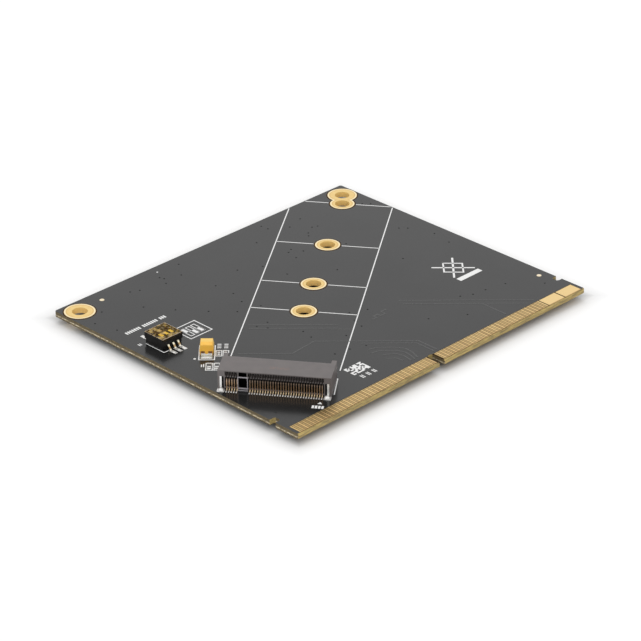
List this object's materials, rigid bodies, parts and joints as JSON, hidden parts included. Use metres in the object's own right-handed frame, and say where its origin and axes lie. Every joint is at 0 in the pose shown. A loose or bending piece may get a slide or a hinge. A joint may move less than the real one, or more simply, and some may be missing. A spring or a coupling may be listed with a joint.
{
  "type": "nvme adapter card",
  "caption": "Flat plug-in card with a gold-fingered edge, a slanted low slot for a storage module, a row of screw holes and a tiny slide switch.",
  "frame": {"origin": "on the underside, at the middle of the board's outline", "axes": "+X along the gold edge, +Y from the gold edge towards the screw corners, +Z out of the component side"},
  "size_m": [0.082, 0.07, 0.0054],
  "materials": {
    "board": "satin grey solder mask on glass-epoxy laminate",
    "gold": "gold plated",
    "slot_plastic": "fine matt moulding",
    "slot_contact": "gold flash over copper alloy",
    "tin": "matt tin",
    "lead_tin": "pale gold-washed lead",
    "switch_plastic": "matt moulding",
    "slider_plastic": "moulded yellow",
    "seal_tape": "clear amber film",
    "capacitor_epoxy": "moulded epoxy",
    "chip_ceramic": "fired ceramic",
    "resistor_ceramic": "white ceramic with a dark film"
  },
  "bodies": {
    "card": {"capacitor_body": "capacitor_epoxy", "capacitor_far_terminal": "tin", "capacitor_near_terminal": "tin", "chip_capacitor_1_body": "chip_ceramic", "chip_capacitor_1_caps": "tin", "chip_capacitor_2_body": "chip_ceramic", "chip_capacitor_2_caps": "tin", "chip_resistor_1_body": "resistor_ceramic", "chip_resistor_1_caps": "tin", "chip_resistor_2_body": "resistor_ceramic", "chip_resistor_2_caps": "tin", "circuit_board": "board", "edge_fingers_bottom": "gold", "edge_fingers_top": "gold", "power_pads_bottom": "gold", "power_pads_top": "gold", "slot_hold_down_left": "tin", "slot_hold_down_right": "tin", "slot_housing": "slot_plastic", "slot_lower_contacts": "slot_contact", "slot_upper_contacts": "slot_contact", "switch_base": "switch_plastic", "switch_cover": "switch_plastic", "switch_leads": "lead_tin", "switch_seal_tape": "seal_tape"},
    "slider_1": {"switch_slider_1": "slider_plastic", "switch_wiper_1": "slot_contact"},
    "slider_2": {"switch_slider_2": "slider_plastic", "switch_wiper_2": "slot_contact"},
    "slider_3": {"switch_slider_3": "slider_plastic", "switch_wiper_3": "slot_contact"}
  },
  "joints": [
    {"name": "slider_1_travel", "type": "slide", "parent": "card", "child": "slider_1", "axis": [0, 1, 0], "range_m": [0, 0.0015]},
    {"name": "slider_2_travel", "type": "slide", "parent": "card", "child": "slider_2", "axis": [0, 1, 0], "range_m": [0, 0.0015]},
    {"name": "slider_3_travel", "type": "slide", "parent": "card", "child": "slider_3", "axis": [0, 1, 0], "range_m": [0, 0.0015]}
  ]
}
